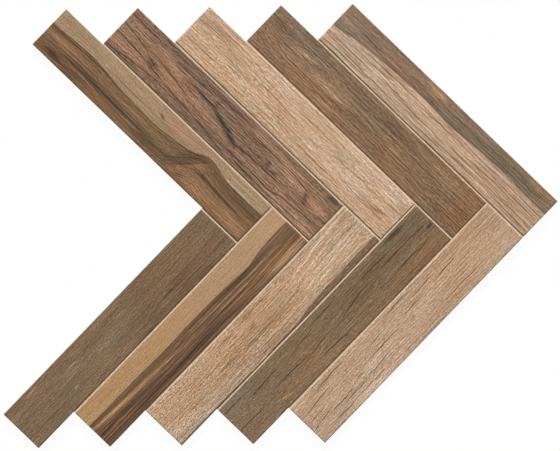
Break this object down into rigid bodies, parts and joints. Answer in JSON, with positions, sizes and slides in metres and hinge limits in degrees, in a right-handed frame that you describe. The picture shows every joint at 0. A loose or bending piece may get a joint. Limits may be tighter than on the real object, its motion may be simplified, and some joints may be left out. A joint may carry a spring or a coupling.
{
  "type": "herringbone porcelain tile sheet",
  "caption": "Flat arrow-shaped sheet of wood-look porcelain planks laid in herringbone, with pale filled joints and a mesh back, for covering a floor or wall.",
  "frame": {"origin": "centre of the sheet's bounding box, on the underside of the backing mesh", "axes": "+X the way the arrows point, +Y towards the ends of the upper planks, +Z out of the printed faces"},
  "size_m": [0.584, 0.459, 0.0095],
  "materials": {
    "walnut_with_sapwood": "matte wood-look printed porcelain",
    "dark_walnut": "matte wood-look printed porcelain",
    "pale_oak": "matte wood-look printed porcelain",
    "brown_oak": "matte wood-look printed porcelain",
    "pale_wood_brown_edge": "matte wood-look printed porcelain",
    "grey_brown_wood": "matte wood-look printed porcelain",
    "honey_sapwood_dark_heart": "matte wood-look printed porcelain",
    "pale_wood_dark_edge": "matte wood-look printed porcelain",
    "umber_wood": "matte wood-look printed porcelain",
    "tan_wood": "matte wood-look printed porcelain",
    "joint_filler": "matte cream cement-based joint filler",
    "backing_mesh": "white glass fibre mesh with dried adhesive"
  },
  "bodies": {
    "root": {"upper_plank_1": "walnut_with_sapwood", "upper_plank_2": "dark_walnut", "upper_plank_3": "pale_oak", "upper_plank_4": "brown_oak", "upper_plank_5": "pale_wood_brown_edge", "lower_plank_1": "grey_brown_wood", "lower_plank_2": "honey_sapwood_dark_heart", "lower_plank_3": "pale_wood_dark_edge", "lower_plank_4": "umber_wood", "lower_plank_5": "tan_wood", "joint_filler": "joint_filler", "backing_mesh": "backing_mesh"}
  },
  "joints": []
}
